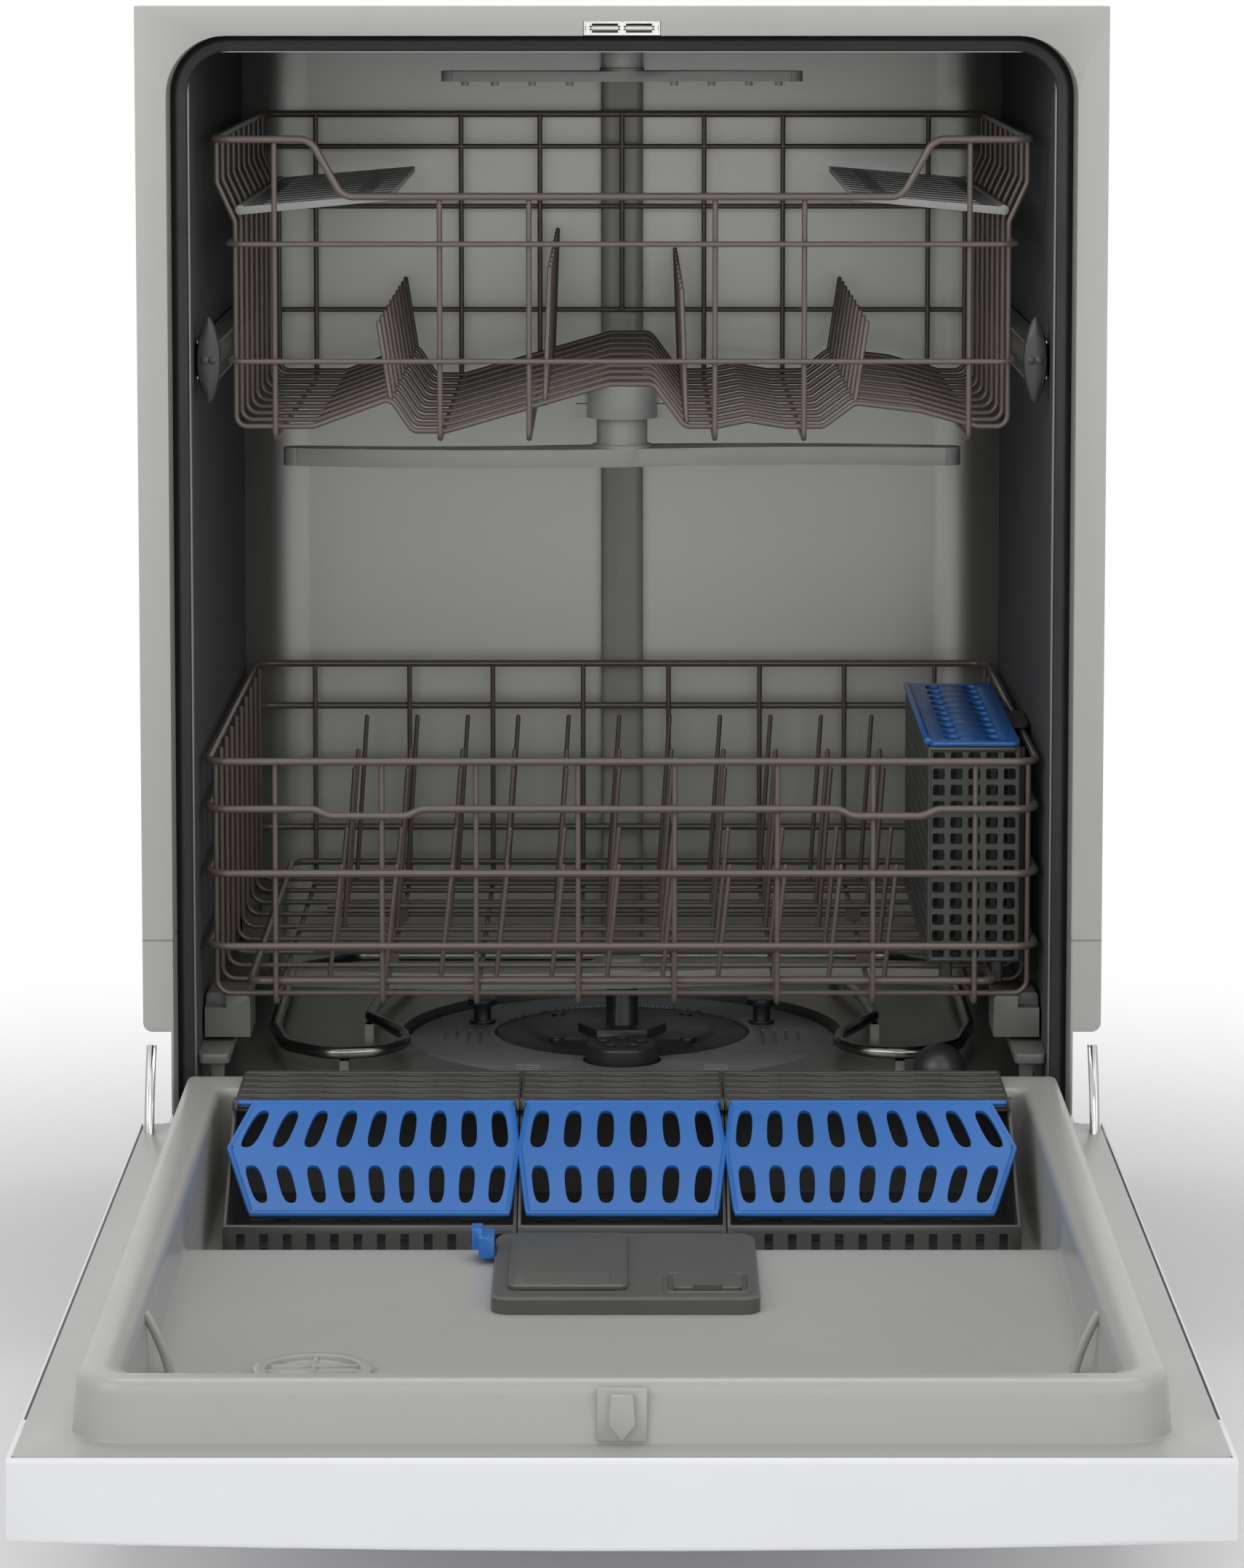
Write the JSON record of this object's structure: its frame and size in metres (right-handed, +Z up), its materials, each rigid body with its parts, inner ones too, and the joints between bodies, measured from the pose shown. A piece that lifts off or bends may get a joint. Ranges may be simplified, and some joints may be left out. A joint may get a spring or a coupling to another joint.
{
  "type": "built-in dishwasher",
  "caption": "Built-in dishwasher with a drop-down door, grey door recess with cutlery baskets, two wire racks, spray arms, filters and a heater in a steel tub.",
  "frame": {"origin": "floor level, at the middle of the box with the door open", "axes": "+X right and +Y back, seen from the open door's side, +Z up"},
  "size_m": [0.603, 1.306, 0.857],
  "materials": {
    "tub_steel": "satin, brushed upright",
    "frame_grey": "satin warm grey paint",
    "liner_grey": "smooth satin grey moulding",
    "door_white": "semi-gloss white enamel",
    "console_white": "semi-gloss white moulding",
    "key_grey": "matt",
    "gasket_rubber": "matt",
    "rack_nylon": "nylon-coated wire, soft sheen",
    "steel_zinc": "galvanised",
    "heater_steel": "dark bright metal",
    "black_plastic": "fine satin black moulding",
    "basket_grey": "satin dark grey moulding",
    "dispenser_grey": "fine textured dark grey",
    "light_grey_plastic": "satin mid grey moulding",
    "mesh_grey": "fine perforated moulding",
    "blue_plastic": "satin blue moulding",
    "blanket_felt": "dense dark felt",
    "pump_grey": "moulded"
  },
  "bodies": {
    "cabinet": {"tub": "tub_steel", "rack_tracks": "light_grey_plastic", "tub_frame": "frame_grey", "tub_gasket": "gasket_rubber", "latch_strike": "steel_zinc", "base_frame": "steel_zinc", "levelling_feet": "black_plastic", "kick_plate": "door_white", "hinge_brackets": "steel_zinc", "door_springs": "steel_zinc", "sump": "pump_grey", "wash_pump": "pump_grey", "drain_pump": "pump_grey", "inlet_valve": "console_white", "junction_box": "steel_zinc", "worktop_brackets": "steel_zinc", "sound_blanket": "blanket_felt", "supply_duct": "light_grey_plastic", "heating_element": "heater_steel", "filter_wings": "mesh_grey", "sump_cover": "black_plastic"},
    "lower_arm": {"lower_spray_arm": "light_grey_plastic"},
    "top_arm": {"top_spray_arm": "light_grey_plastic"},
    "filter": {"filter_cup": "black_plastic"},
    "float": {"float_dome": "light_grey_plastic"},
    "rails": {"rack_rails": "steel_zinc", "rail_caps": "light_grey_plastic"},
    "upper_rack": {"upper_rack": "rack_nylon", "mid_feed": "light_grey_plastic"},
    "middle_arm": {"mid_spray_arm": "light_grey_plastic"},
    "shelf_left": {"cup_shelf_left": "light_grey_plastic"},
    "shelf_right": {"cup_shelf_right": "light_grey_plastic"},
    "upper_wheels_front": {"rack_wheels_front": "light_grey_plastic"},
    "upper_wheels_rear": {"rack_wheels_rear": "light_grey_plastic"},
    "rollers_front": {"wall_rollers_front": "light_grey_plastic"},
    "rollers_rear": {"wall_rollers_rear": "light_grey_plastic"},
    "lower_rack": {"lower_rack": "rack_nylon", "wheel_housings": "light_grey_plastic"},
    "fold_row_front": {"fold_tines_front": "rack_nylon"},
    "fold_row_rear": {"fold_tines_rear": "rack_nylon"},
    "wheels_front": {"lower_wheels_front": "light_grey_plastic"},
    "wheels_rear": {"lower_wheels_rear": "light_grey_plastic"},
    "cutlery": {"cutlery_basket": "basket_grey"},
    "cutlery_cover": {"cutlery_lid": "blue_plastic"},
    "door": {"outer_panel": "door_white", "console": "console_white", "door_liner": "liner_grey", "door_latch": "liner_grey", "door_vent": "liner_grey", "hinge_arms": "steel_zinc", "door_baskets": "basket_grey", "dispenser": "dispenser_grey"},
    "lid_left": {"basket_lid_left": "blue_plastic"},
    "lid_middle": {"basket_lid_middle": "blue_plastic"},
    "lid_right": {"basket_lid_right": "blue_plastic"},
    "detergent_cover": {"detergent_lid": "dispenser_grey"},
    "rinse_cover": {"rinse_lid": "dispenser_grey"},
    "lever": {"dispenser_lever": "blue_plastic"},
    "key_start": {"start_key": "key_grey"},
    "key_cycle": {"cycle_key": "key_grey"}
  },
  "joints": [
    {"name": "door_hinge", "type": "hinge", "parent": "cabinet", "child": "door", "pos_m": [0, 0.062, 0.135], "axis": [-1, 0, 0], "range_deg": [0, 90]},
    {"name": "upper_rack_slide", "type": "slide", "parent": "cabinet", "child": "upper_rack", "axis": [0, 1, 0], "range_m": [-0.45, 0]},
    {"name": "rail_slide", "type": "slide", "parent": "cabinet", "child": "rails", "axis": [0, 1, 0], "range_m": [-0.2255, 0.0005]},
    {"name": "upper_wheels_front_spin", "type": "hinge", "parent": "upper_rack", "child": "upper_wheels_front", "pos_m": [0, 0.398, 0.634], "axis": [-1, 0, 0], "range_deg": [-1300, 1]},
    {"name": "upper_wheels_rear_spin", "type": "hinge", "parent": "upper_rack", "child": "upper_wheels_rear", "pos_m": [0, 0.572, 0.634], "axis": [-1, 0, 0], "range_deg": [-1300, 1]},
    {"name": "rollers_front_spin", "type": "hinge", "parent": "cabinet", "child": "rollers_front", "pos_m": [0, 0.178, 0.634], "axis": [-1, 0, 0], "range_deg": [-1300, 1]},
    {"name": "rollers_rear_spin", "type": "hinge", "parent": "cabinet", "child": "rollers_rear", "pos_m": [0, 0.338, 0.634], "axis": [-1, 0, 0], "range_deg": [-1300, 1]},
    {"name": "lower_rack_slide", "type": "slide", "parent": "cabinet", "child": "lower_rack", "axis": [0, 1, 0], "range_m": [-0.48, 0]},
    {"name": "wheels_front_spin", "type": "hinge", "parent": "lower_rack", "child": "wheels_front", "pos_m": [0, 0.198, 0.2045], "axis": [-1, 0, 0], "range_deg": [-2420, 1]},
    {"name": "wheels_rear_spin", "type": "hinge", "parent": "lower_rack", "child": "wheels_rear", "pos_m": [0, 0.538, 0.2045], "axis": [-1, 0, 0], "range_deg": [-2420, 1]},
    {"name": "lower_arm_spin", "type": "hinge", "parent": "cabinet", "child": "lower_arm", "pos_m": [0, 0.377, 0.191], "axis": [0, 0, 1], "continuous": true},
    {"name": "middle_arm_spin", "type": "hinge", "parent": "upper_rack", "child": "middle_arm", "pos_m": [0, 0.36, 0.547], "axis": [0, 0, 1], "continuous": true},
    {"name": "top_arm_spin", "type": "hinge", "parent": "cabinet", "child": "top_arm", "pos_m": [0, 0.377, 0.803], "axis": [0, 0, 1], "continuous": true},
    {"name": "filter_twist", "type": "hinge", "parent": "cabinet", "child": "filter", "pos_m": [0, 0.291, 0.15], "axis": [0, 0, 1], "range_deg": [-90, 0]},
    {"name": "float_rise", "type": "slide", "parent": "cabinet", "child": "float", "axis": [0, 0, 1], "range_m": [0, 0.008]},
    {"name": "shelf_left_hinge", "type": "hinge", "parent": "upper_rack", "child": "shelf_left", "pos_m": [-0.2423, 0.36, 0.727], "axis": [0, 1, 0], "range_deg": [-85, 0]},
    {"name": "shelf_right_hinge", "type": "hinge", "parent": "upper_rack", "child": "shelf_right", "pos_m": [0.2423, 0.36, 0.727], "axis": [0, -1, 0], "range_deg": [-85, 0]},
    {"name": "fold_row_front_hinge", "type": "hinge", "parent": "lower_rack", "child": "fold_row_front", "pos_m": [0, 0.284, 0.2315], "axis": [1, 0, 0], "range_deg": [-86, 0]},
    {"name": "fold_row_rear_hinge", "type": "hinge", "parent": "lower_rack", "child": "fold_row_rear", "pos_m": [0, 0.442, 0.2315], "axis": [1, 0, 0], "range_deg": [-86, 0]},
    {"name": "cutlery_lift", "type": "slide", "parent": "lower_rack", "child": "cutlery", "axis": [0, 0, 1], "range_m": [0, 0.14]},
    {"name": "cutlery_lid_hinge", "type": "hinge", "parent": "cutlery", "child": "cutlery_cover", "pos_m": [0.196, 0.152, 0.3865], "axis": [0, 1, 0], "range_deg": [-110, 0]},
    {"name": "detergent_lid_slide", "type": "slide", "parent": "door", "child": "detergent_cover", "axis": [0, -1, 0], "range_m": [-0.05, 0]},
    {"name": "rinse_lid_hinge", "type": "hinge", "parent": "door", "child": "rinse_cover", "pos_m": [0.046, -0.337, 0.1832], "axis": [1, 0, 0], "range_deg": [-95, 0]},
    {"name": "lever_slide", "type": "slide", "parent": "door", "child": "lever", "axis": [0, 1, 0], "range_m": [-0.004, 0]},
    {"name": "start_key_press", "type": "slide", "parent": "door", "child": "key_start", "axis": [0, 0, 1], "range_m": [0, 0.0015], "stiffness_N_per_m": 400},
    {"name": "cycle_key_press", "type": "slide", "parent": "door", "child": "key_cycle", "axis": [0, 0, 1], "range_m": [0, 0.0015], "stiffness_N_per_m": 400},
    {"name": "lid_left_hinge", "type": "hinge", "parent": "door", "child": "lid_left", "pos_m": [0, -0.036, 0.1995], "axis": [1, 0, 0], "range_deg": [-208, 0]},
    {"name": "lid_middle_hinge", "type": "hinge", "parent": "door", "child": "lid_middle", "pos_m": [0, -0.036, 0.1995], "axis": [1, 0, 0], "range_deg": [-208, 0]},
    {"name": "lid_right_hinge", "type": "hinge", "parent": "door", "child": "lid_right", "pos_m": [0, -0.036, 0.1995], "axis": [1, 0, 0], "range_deg": [-208, 0]}
  ],
  "couplings": [
    {"joint": "rail_slide", "follows": "upper_rack_slide", "ratio": 0.5},
    {"joint": "upper_wheels_front_spin", "follows": "upper_rack_slide", "rad_per_m": 49.02},
    {"joint": "upper_wheels_rear_spin", "follows": "upper_rack_slide", "rad_per_m": 49.02},
    {"joint": "rollers_front_spin", "follows": "upper_rack_slide", "rad_per_m": 49.02},
    {"joint": "rollers_rear_spin", "follows": "upper_rack_slide", "rad_per_m": 49.02},
    {"joint": "wheels_front_spin", "follows": "lower_rack_slide", "rad_per_m": 86.957},
    {"joint": "wheels_rear_spin", "follows": "lower_rack_slide", "rad_per_m": 86.957}
  ]
}
